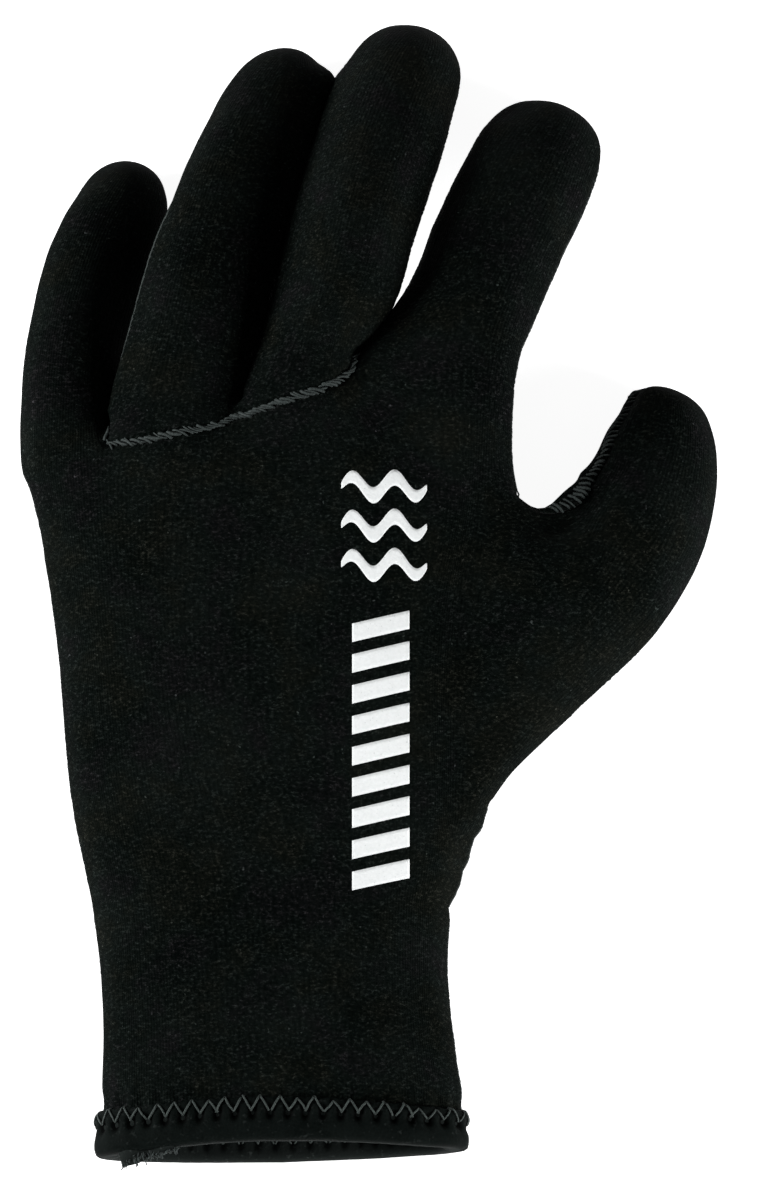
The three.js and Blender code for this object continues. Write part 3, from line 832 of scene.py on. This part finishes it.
# How far the knuckle seam climbs towards the fingertips, at places across the hand
SEAM_ACROSS = [-60.0, -42.0, -32.0, -18.0, -6.0, 7.0, 13.0, 17.0, 24.0, 34.0, 50.0]
SEAM_CLIMB = [0.0, 1.6, 0.8, 2.4, 3.4, 5.0, 6.6, 7.0, 5.0, 2.0, 0.0]
SEAM_REACH = 17  # how far from the seam the panels move with it


def curve_seam():
    """The knuckle seam climbs in a curve to the web at the index finger."""
    edge = sorted({v for e in seams[(BACK, INSERT)] for v in e})
    return np.interp(skin[:, 0], SEAM_ACROSS, SEAM_CLIMB) * bell(distance_to(edge), SEAM_REACH)


skin[:, 1] += curve_seam()
skin_normals = normals_of(skin, skin_faces)
seam_distance = distance_to(seam_points)


# Soft lumps and wrinkles: place in the cage's frame, length, width, angle and height, and whether
# only the skin that faces up is moved
WRINKLES = table(
    "at long wide angle height on_top",
    ((43.0, 76.0), 9.0, 3.0, 8, 1.3, False),
    ((40.5, 69.0), 9.0, 2.8, 5, 1.1, False),
    ((38.0, 62.5), 8.0, 2.6, 0, 0.8, False),
    ((36.5, 58.0), 9.0, 2.0, -4, -0.9, False),
    ((34.0, 72.5), 10.0, 2.4, 8, -0.6, False),
    ((63.5, 146.0), 10.0, 6.0, 12, -3.4, True),
    ((73.0, 155.0), 14.0, 5.0, 50, -2.8, True),
    ((0.0, 165.5), 8.0, 1.6, 9, 0.5, False),
)
LUMP, LUMP_SIZE = 0.42, 21.0
RIPPLE, RIPPLE_SIZE = 0.16, 6.5
SEAM_GROOVE, GROOVE_WIDTH = 0.55, 0.9
SEAM_RIDGE, RIDGE_WIDTH, RIDGE_AWAY = 0.30, 1.8, 3.0
DENT_WIDTH, DENT_ABOVE = 2.2, 1.8  # of the dent over the tape


def across_cuff(x, values):
    """A value given at the cuff's left, middle and right, anywhere between them."""
    return np.interp(x, [-CUFF_WIDTH / 2, 0, CUFF_WIDTH / 2], values)


def relief():
    """How far the skin stands out of the smooth form, in millimetres."""
    out = np.zeros(len(skin))
    for n, p in enumerate(skin):
        at = Vector(p)
        out[n] += LUMP * noise.noise(at / LUMP_SIZE) + RIPPLE * noise.noise(at / RIPPLE_SIZE)
    out -= SEAM_GROOVE * bell(seam_distance, GROOVE_WIDTH)
    out += SEAM_RIDGE * bell(seam_distance - RIDGE_AWAY, RIDGE_WIDTH)
    tape_top = TAPE_TOP * across_cuff(skin[:, 0], TAPE_SHARE)
    beat = 0.6 + 0.4 * np.cos(2 * pi * skin[:, 0] / ZIGZAG_PITCH)
    out -= TAPE_DENT * beat * bell(skin[:, 1] - tape_top - DENT_ABOVE, DENT_WIDTH)
    for w in WRINKLES:
        turn = radians(w["angle"])
        dx = skin[:, 0] - w["at"][0]
        dy = skin[:, 1] - w["at"][1]
        along = dx * cos(turn) + dy * sin(turn)
        across = -dx * sin(turn) + dy * cos(turn)
        facing = np.clip((skin_normals[:, 2] - 0.2) / 0.4, 0, 1) if w["on_top"] else 1
        out += w["height"] * bell(along, w["long"]) * bell(across, w["wide"]) * facing
    return out


skin = skin + skin_normals * relief()[:, None]
cuff_zone = skin[:, 1] < BINDING_HEIGHT + WALL
upper_half = np.clip((skin[:, 2] - CUFF_DEPTH / 2) / (CUFF_DEPTH / 2), 0, 1)
arch = bell(skin[:, 0] - ARCH_MIDDLE, ARCH_WIDE) * upper_half
tilt = across_cuff(skin[:, 0], MOUTH_LIFT)
skin[:, 1] += (MOUTH_ARCH * arch + tilt) * np.clip(1 - skin[:, 1] / MOUTH_FADE, 0, 1)
skin[:, 2] = np.maximum(skin[:, 2], np.where(cuff_zone, CUFF_FLOOR, FLOOR_CLEARANCE))
skin_normals = normals_of(skin, skin_faces)


def build_panel(panel):
    """One panel as a closed sheet: outer skin, lining and cut edge."""
    chosen = skin_faces[skin_panels == panel]
    knit = skin_knit[skin_panels == panel]
    used = np.unique(chosen)
    place = {int(v): i for i, v in enumerate(used)}
    ways = skin[chosen].mean(axis=1)[:, None] - skin[chosen]
    normals = skin_normals[chosen]
    ways -= normals * (ways * normals).sum(axis=2, keepdims=True)
    inward = np.zeros_like(skin)
    np.add.at(inward, chosen, unit(ways))
    shared = np.isin(used, skin_faces[skin_panels != panel])
    drawn = unit(inward[used]) * shared[:, None] * PANEL_EDGE
    outer = skin[used] + drawn
    inner = skin[used] - skin_normals[used] * WALL + drawn
    inner[:, 2] = np.maximum(inner[:, 2], WALL)
    count = len(used)
    top = [[place[int(v)] for v in corners] for corners in chosen]
    under = [[v + count for v in reversed(corners)] for corners in top]
    directed = {(c[i], c[(i + 1) % 4]) for c in top for i in range(4)}
    walls = [[b, a, a + count, b + count] for a, b in directed if (b, a) not in directed]
    name = PANEL_NODES[panel].replace("_panel", "") + "_skin"
    obj = new_object(name, np.vstack([outer, inner]), top + under + walls, [jersey, lining, foam])
    mesh = obj.data
    layer = mesh.uv_layers.new(name="knit")
    for n, polygon in enumerate(mesh.polygons):
        polygon.material_index = min(n // len(top), 2)
        if n < len(top):
            for loop, uv in zip(polygon.loop_indices, knit[n]):
                layer.data[loop].uv = uv
    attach(obj, "root")
    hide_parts(PANEL_NODES[panel])


for panel in range(len(PANEL_NODES)):
    build_panel(panel)

outer_tree = tree_of(skin_faces)


# Threads

class Threads:
    """Many short tubes joined in one mesh."""

    def __init__(self):
        self.points = []
        self.faces = []

    def tube(self, path, radius, sides=6, flat=1.0):
        path = [np.asarray(p, float) for p in path]
        start = len(self.points)
        up = vec(0, 0, 1)
        for i, p in enumerate(path):
            ahead = unit(path[min(i + 1, len(path) - 1)] - path[max(i - 1, 0)])
            side = np.cross(ahead, up)
            if norm(side) < 1e-3:
                side = np.cross(ahead, vec(1, 0, 0))
            side = unit(side)
            over = np.cross(side, ahead)
            for k in range(sides):
                angle = 2 * pi * k / sides
                offset = side * cos(angle) + over * sin(angle) * flat
                self.points.append(p + offset * radius)
        for i in range(len(path) - 1):
            for k in range(sides):
                j = (k + 1) % sides
                a = start + i * sides
                self.faces.append([a + k, a + j, a + sides + j, a + sides + k])
        end = start + (len(path) - 1) * sides
        self.faces.append([start + k for k in reversed(range(sides))])
        self.faces.append([end + k for k in range(sides)])

    def build(self, name, material):
        obj = new_object(name, self.points, self.faces, [material])
        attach(obj, "root")


def run_lengths(points):
    """How far along a run each of its points is."""
    return np.concatenate([[0], np.cumsum(norm(np.diff(points, axis=0), axis=1))])


def along_run(places, lengths, values):
    return np.stack([np.interp(places, lengths, values[:, i]) for i in range(3)], axis=1)


def resampled(points, step):
    """Points a fixed step apart along a run."""
    lengths = run_lengths(points)
    count = max(2, int(round(lengths[-1] / step)) + 1)
    return along_run(np.linspace(0, lengths[-1], count), lengths, points)


CROTCH_LEFT = 59.5  # the thumb's coarse stitches start here, at the bottom of the notch


def overlock(run, threads, width, pitch, radius, upright=-1.0, lean=0.8, looper=True, start_x=None,
             shift=(0, 0, 0), uneven=0.15):
    """Slanted stitches over a butted seam, and the looper thread that weaves between their ends."""
    points = resampled(skin[run] + np.array(shift), pitch)
    if start_x is not None:
        points = points[points[:, 0] > start_x]
    ends = {-1: [], 1: []}
    for i in range(1, len(points) - 1):
        along = unit(points[i + 1] - points[i - 1])
        up = np.array(outer_tree.find_nearest(Vector(points[i]))[1])
        if up[2] < upright:
            continue
        side = unit(np.cross(along, up))
        wobble = random.uniform(-0.25, 0.25)
        half = width / 2 * random.uniform(0.95 - uneven, 1 + uneven)
        path = []
        for t in (-1, -0.72, -0.36, 0, 0.36, 0.72, 1):
            lift = STITCH_HEIGHT * (1 - t * t) + 0.04
            slant = pitch * (lean * t + wobble)
            guess = points[i] + side * half * t + along * slant
            on = np.array(outer_tree.find_nearest(Vector(guess))[0])
            path.append(on + up * (lift - (STITCH_SINK if abs(t) == 1 else 0)))
        threads.tube(path, radius * random.uniform(0.95 - uneven, 1 + uneven), sides=5)
        for end, place in ((-1, path[1]), (1, path[-2])):
            ends[end].append(place + side * end * 0.12 * (-1) ** i + up * 0.06)
    for places in ends.values():
        if looper and len(places) > 2:
            threads.tube(places, radius * 0.75, sides=5)


# The seams of the knuckles and of the thumb's inside are the coarse, pale ones
knuckle_threads = Threads()
thumb_threads = Threads()
side_threads = Threads()
for pair, edges in seams.items():
    for run in chains(edges):
        if pair == (BACK, INSERT):
            overlock(run, knuckle_threads, STITCH_WIDTH * 0.85, STITCH_PITCH * 1.1, THREAD * 0.9, 0.6, 1.3,
                     looper=False, uneven=0.4)
        elif pair == (BACK, UNDERSIDE + THUMB_LIMB):
            overlock(run, thumb_threads, STITCH_WIDTH * 1.2, STITCH_PITCH * 1.35, THREAD * 0.9, lean=0.5,
                     looper=False, start_x=CROTCH_LEFT, shift=(-1.2, 0.9, 0), uneven=0.25)
        else:
            overlock(run, side_threads, STITCH_WIDTH * 0.75, STITCH_PITCH * 1.25, THREAD * 0.6)
knuckle_threads.build("knuckle_seam", zigzag_thread)
thumb_threads.build("thumb_seam", zigzag_thread)
side_threads.build("side_seams", seam_thread)


# The cuff: tape folded over the edge, zigzag stitches through it and its loose end

def rim_frames(count):
    """Places round the cuff's edge, evenly spaced, with their outward normals."""
    border = {(int(f[i]), int(f[(i + 1) % 4])) for f in skin_faces for i in range(4)}
    onward = {a: b for a, b in border if (b, a) not in border}
    start = min(onward, key=lambda v: skin[v][0])
    run = [start]
    while onward[run[-1]] != start:
        run.append(onward[run[-1]])
    points = skin[run + [start]]
    normals = skin_normals[run + [start]]
    lengths = run_lengths(points)
    places = np.linspace(0, lengths[-1], count, endpoint=False)
    at = along_run(places, lengths, points)
    out = along_run(places, lengths, normals)
    out[:, 1] = 0
    return at, unit(out), places, lengths[-1]


COLUMNS = 480
INSIDE_PUCKER = 0.6  # depth of the dips inside the cuff, beside those outside
INSIDE_FACE = -4.3  # the tape's face inside the cuff, out from the neoprene's
INSIDE_LOWER = 3.6  # how much nearer the edge the stitches are inside
COVER, COVER_AT_TOP = 1.25, 0.35  # the tape's face outside, and past its upper edge
COVER_ENDS = 10.2
HOLE_DEPTH, TOP_HOLE_DEPTH = 1.1, 0.5
rim_at, rim_out, rim_places, RIM_LENGTH = rim_frames(COLUMNS)
TURNS = int(round(RIM_LENGTH / ZIGZAG_PITCH))
PITCH = RIM_LENGTH / TURNS


def tape_point(column, up, offset):
    """A place on the tape: up from the cuff's edge, where it shows unevenly, and out from the neoprene."""
    edge = rim_at[column % COLUMNS]
    if up > 0:
        up *= float(across_cuff(edge[0], TAPE_SHARE))
    at = edge + vec(0, up, 0) + rim_out[column % COLUMNS] * offset
    at[2] = max(at[2], FLOOR_CLEARANCE)
    return at


def beat_at(place):
    """From 1 at the zigzag's lower holes to 0 at its upper ones."""
    return cos(2 * pi * (place / PITCH)) * 0.5 + 0.5


def pucker(place, up):
    """Dips where the stitches pull the tape down, deepest at the lower holes."""
    low = beat_at(place)
    dip = HOLE_DEPTH * low ** 1.3 * exp(-(((up - ZIGZAG_LOW + 0.5) / 2.0) ** 2))
    return dip + TOP_HOLE_DEPTH * (1 - low) ** 3 * exp(-((up - ZIGZAG_HIGH + 0.8) ** 2))


def build_tape():
    """The tape's outline, as pairs of up and offset, carried round the cuff."""
    outside = [(TAPE_TOP, 0.10), (10.5, 0.75), (10.0, 1.05), (9.6, 1.15), (9.2, 1.2), (8.7, 1.28),
               (8.2, 1.32), (7.7, 1.32), (7.2, 1.3), (6.7, 1.26), (6.2, 1.22), (5.8, 1.2), (5.4, 1.2),
               (5.0, 1.25), (4.6, 1.3), (4.1, 1.36), (3.6, 1.42), (2.6, 1.5), (1.4, 1.55), (0.2, 1.5)]
    fold = [(-0.7, 1.2), (-1.2, 0.5), (-1.42, -0.5), (-1.5, -1.5), (-1.42, -2.5), (-1.2, -3.5),
            (-0.7, -4.2)]
    inside = [(0.2, -4.5), (1.6, -4.5), (3.2, -4.42), (5.0, -4.3), (6.8, -4.3), (8.4, -4.2), (9.6, -4.1),
              (9.8, -3.7), (9.7, -3.3)]
    back = [(8.0, -3.3), (4.0, -3.3), (0.3, -3.3), (-0.3, -2.9), (-0.35, -1.5), (-0.3, -0.1),
            (0.3, 0.3), (4.0, 0.3), (8.0, 0.3), (10.2, 0.25)]
    profile = outside + fold + inside + back
    points = []
    painted_dip_shade = []
    fold_ends = len(outside) + len(fold)
    for c in range(COLUMNS):
        place = rim_places[c]
        wave = 0.16 * noise.noise(Vector((place / 9.0, 3.1, 0.0)))
        wave += 0.07 * noise.noise(Vector((place / 2.5, 8.0, 0)))
        edge_wave = 0.35 * noise.noise(Vector((place / 6.0, 0.0, 5.0))) - 0.35 * beat_at(place)
        for n, (up, offset) in enumerate(profile):
            outer = n < len(outside)
            if outer:
                offset = offset - pucker(place, up) + wave
                if up > 9.5:
                    up += edge_wave
            elif n < fold_ends:
                up += 0.5 * wave
            elif n < fold_ends + len(inside):
                offset = offset + INSIDE_PUCKER * pucker(place, up) + wave
            points.append(tape_point(c, up, offset))
            # How much painted shade each point of the tape gets, from the dips at the stitches
            painted_dip_shade.append(pucker(place, up) if outer else INSIDE_PUCKER * pucker(place, up + 3.4))
    size = len(profile)
    faces = []
    for c in range(COLUMNS):
        d = (c + 1) % COLUMNS
        for n in range(size):
            m = (n + 1) % size
            faces.append([c * size + n, c * size + m, d * size + m, d * size + n])
    obj = new_object("cuff_tape", points, faces, [tape_cloth, tape_inside])
    worn_from = len(outside) + 2
    for i, polygon in enumerate(obj.data.polygons):
        polygon.material_index = int(i % size >= worn_from)
    # The dip attribute carries the painted shade in the dips to the tape's colour
    dip_shade_layer = obj.data.attributes.new("dip", "FLOAT", "POINT")
    dip_shade_layer.data.foreach_set("value", painted_dip_shade)
    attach(obj, "root")
    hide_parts("cuff_binding")


build_tape()


def at_rim(place, up, offset):
    """The same as tape_point, at any place round the cuff."""
    column = place / RIM_LENGTH * COLUMNS
    low = int(floor(column))
    share = column - low
    return tape_point(low, up, offset) * (1 - share) + tape_point(low + 1, up, offset) * share


END_PLACE = 8.5  # of the tape's loose end, round the cuff from its little-finger side
END_LONG = 14.5
END_THICK = 0.8
FRAYS = 70


def zigzag(outside):
    """Stitches through the tape, uneven in place and height."""
    threads = Threads()
    for turn in range(TURNS):
        base = turn * PITCH + random.uniform(-0.35, 0.35)
        reach = ZIGZAG_HIGH + random.uniform(-1.3, 0.2)
        sway = random.uniform(-0.35, 0.35)
        for half in (0, 1):
            path = []
            for t in np.linspace(0, 1, 9):
                share = t if half == 0 else 1 - t
                up = lerp(ZIGZAG_LOW, reach, share) + random.uniform(-0.08, 0.08)
                place = base + (half + t) * PITCH / 2 + sway * sin(pi * t)
                lift = 0.5 * sin(pi * t) ** 0.6 - 0.25
                if outside:
                    cover = COVER if up < COVER_ENDS else COVER_AT_TOP
                    path.append(at_rim(place, up, cover + lift))
                else:
                    path.append(at_rim(place, up - INSIDE_LOWER, INSIDE_FACE - lift))
            threads.tube(path, THREAD * 0.68, sides=6, flat=0.8)
    name = "cuff_zigzag" if outside else "cuff_zigzag_inside"
    threads.build(name, cuff_thread)


zigzag(True)
zigzag(False)


def slab_faces(start, columns, rows):
    """Faces of a closed slab whose points are two grids, the upper one first, column by column."""
    def at(c, r, layer):
        return start + (layer * columns + c) * rows + r

    faces = []
    for c in range(columns - 1):
        for r in range(rows - 1):
            corners = [(c, r), (c + 1, r), (c + 1, r + 1), (c, r + 1)]
            faces.append([at(*corner, 0) for corner in corners])
            faces.append([at(*corner, 1) for corner in reversed(corners)])
    loop = [(c, 0) for c in range(columns)] + [(columns - 1, r) for r in range(1, rows)]
    loop += [(c, rows - 1) for c in range(columns - 2, -1, -1)] + [(0, r) for r in range(rows - 2, 0, -1)]
    for here, onward in zip(loop, loop[1:] + loop[:1]):
        faces.append([at(*onward, 0), at(*here, 0), at(*here, 1), at(*onward, 1)])
    return faces


def tape_end():
    """The loose, frayed end of the tape at the little-finger side."""
    points = []
    columns, rows = 9, 7
    for layer in (0, 1):
        for c in range(columns):
            for r in range(rows):
                u = c / (columns - 1)
                v = r / (rows - 1)
                ragged = 0.5 * noise.noise(Vector((u * 5, 2.0, 0))) * v
                drop = v * (4.2 - 3.0 * u) + ragged
                at = at_rim(END_PLACE + lerp(0, END_LONG, u), -0.6 - drop, 0.4 - 1.6 * v)
                at[2] += 0.6 * sin(9 * u + 2 * v)
                at[2] -= END_THICK * layer
                at[2] = max(at[2], 0.05 + END_THICK * (1 - layer))
                points.append(at)
    obj = new_object("tape_end", points, slab_faces(0, columns, rows), [tape_inside])
    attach(obj, "root")
    frays = Threads()
    for _ in range(FRAYS):
        u = random.random()
        root = at_rim(END_PLACE + END_LONG * u, -0.8 - (4.0 - 3.0 * u) * random.uniform(0.2, 1.0), -0.6)
        root[2] = max(root[2], 0.4)
        way = vec(random.uniform(-0.6, 0.6), -1, random.uniform(-0.2, 0.5))
        path = [root + way * s * random.uniform(0.6, 1.5) + vec(0.3 * s * s * random.uniform(-1, 1), 0, 0)
                for s in (0, 0.5, 1.0)]
        for p in path:
            p[2] = max(p[2], 0.1)
        frays.tube(path, random.uniform(0.08, 0.16), sides=4)
    frays.build("tape_frays", zigzag_thread)


tape_end()


# The print on the back: three water lines over a column of slanted bars

PRINT_THICK = 0.12
PRINT_SUNK = 0.3
WAVE_SIDES = (13.5, 33.0)
WAVE_TOP = 151.0
WAVE_STEP = 9.0
BAR_SIDES = (16.0, 29.0)
BAR_TOP = 119.5
BAR_STEP = 7.0
BAR_HIGH = 4.2
BAR_SLANT = 3.2


def printed(low, high, points, faces, columns, rows):
    """A printed patch between two edges, each a function of the share along it."""
    start = len(points)
    for layer in (PRINT_THICK, -PRINT_SUNK):
        for c in range(columns):
            u = c / (columns - 1)
            for r in range(rows):
                x, y = lerp(np.array(low(u)), np.array(high(u)), r / (rows - 1))
                at, up, _, _ = outer_tree.ray_cast(Vector((x, y, 80.0)), Vector((0, 0, -1)))
                points.append(np.array(at) + np.array(up) * layer)
    faces += slab_faces(start, columns, rows)


def wave_edge(y, sign):
    def at(u):
        swell = 2.1 * sin(u * 4 * pi)
        thick = 1.9 * (0.35 + 0.65 * sin(pi * u) ** 0.5)
        return lerp(*WAVE_SIDES, u), y + swell + sign * thick
    return at


def bar_edge(y):
    return lambda u: (lerp(*BAR_SIDES, u), y + BAR_SLANT * u)


def build_print():
    points, faces = [], []
    for wave in range(3):
        y = WAVE_TOP - wave * WAVE_STEP
        printed(wave_edge(y, -1), wave_edge(y, 1), points, faces, 57, 5)
    for bar in range(9):
        y = BAR_TOP - bar * BAR_STEP
        printed(bar_edge(y - BAR_HIGH), bar_edge(y), points, faces, 21, 6)
    obj = new_object("back_print", points, faces, [print_material()])
    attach(obj, "root")


build_print()


# Floor, light and camera

FLOOR_HALF = 20.0  # metres
FLOOR_DROP = 0.0002


def lay_floor():
    """A pale board lit from below, as a product photographer uses to keep shadows faint."""
    mesh = bpy.data.meshes.new("floor")
    corners = [(-1, -1), (1, -1), (1, 1), (-1, 1)]
    mesh.from_pydata([(x * FLOOR_HALF, y * FLOOR_HALF, 0) for x, y in corners], [], [(0, 1, 2, 3)])
    mesh.materials.append(Nodes("pale_floor").finished({
        "Base Color": (0.8, 0.8, 0.8, 1), "Roughness": 0.9, "Specular IOR Level": 0.1,
        "Emission Color": (1, 1, 1, 1), "Emission Strength": 0.92}))
    obj = linked("floor", mesh)
    obj.location.z = -FLOOR_DROP


lay_floor()


LIT_PLACE = Vector((0, 0, 0.02))


def area_light(name, place, size, power):
    light = bpy.data.lights.new(name, "AREA")
    light.size = size
    light.energy = power
    obj = linked(name, light)
    obj.location = place
    obj.rotation_euler = (LIT_PLACE - Vector(place)).to_track_quat("-Z", "Y").to_euler()


area_light("left", (-0.97, 0.0, 0.45), 0.4, 17)
area_light("right", (0.82, -0.45, 0.33), 0.5, 13)

world = bpy.data.worlds.new("studio")
world.use_nodes = True
background = world.node_tree.nodes["Background"].inputs
background["Color"].default_value = (1, 1, 1, 1)
background["Strength"].default_value = 0.1
bpy.context.scene.world = world
bpy.context.scene.view_settings.view_transform = "Standard"
bpy.context.scene.view_settings.look = "None"

# The photograph looks down on the back of the hand from the cuff's side, ten degrees off square
PHOTO_HEIGHT = 1200
MM_PER_PIXEL = 0.23
CAMERA_ELEVATION = 80
CAMERA_DISTANCE = 1500.0
SENSOR = 36.0
TARGET = vec(24.37, 128.0, 20.0)


def photo_camera():
    camera = bpy.data.cameras.new("photo_camera")
    camera.sensor_fit = "VERTICAL"
    camera.sensor_height = SENSOR
    camera.sensor_width = SENSOR
    camera.lens = CAMERA_DISTANCE / (PHOTO_HEIGHT * MM_PER_PIXEL) * SENSOR
    camera.clip_start = 0.05
    camera.clip_end = 20
    obj = linked("photo_camera", camera)
    tilt = radians(CAMERA_ELEVATION)
    target = (TARGET + SHIFT) * MM
    away = vec(0, -cos(tilt), sin(tilt)) * CAMERA_DISTANCE * MM
    obj.location = Vector(target + away)
    obj.rotation_euler = (radians(90 - CAMERA_ELEVATION), 0, 0)
    bpy.context.scene.camera = obj


photo_camera()
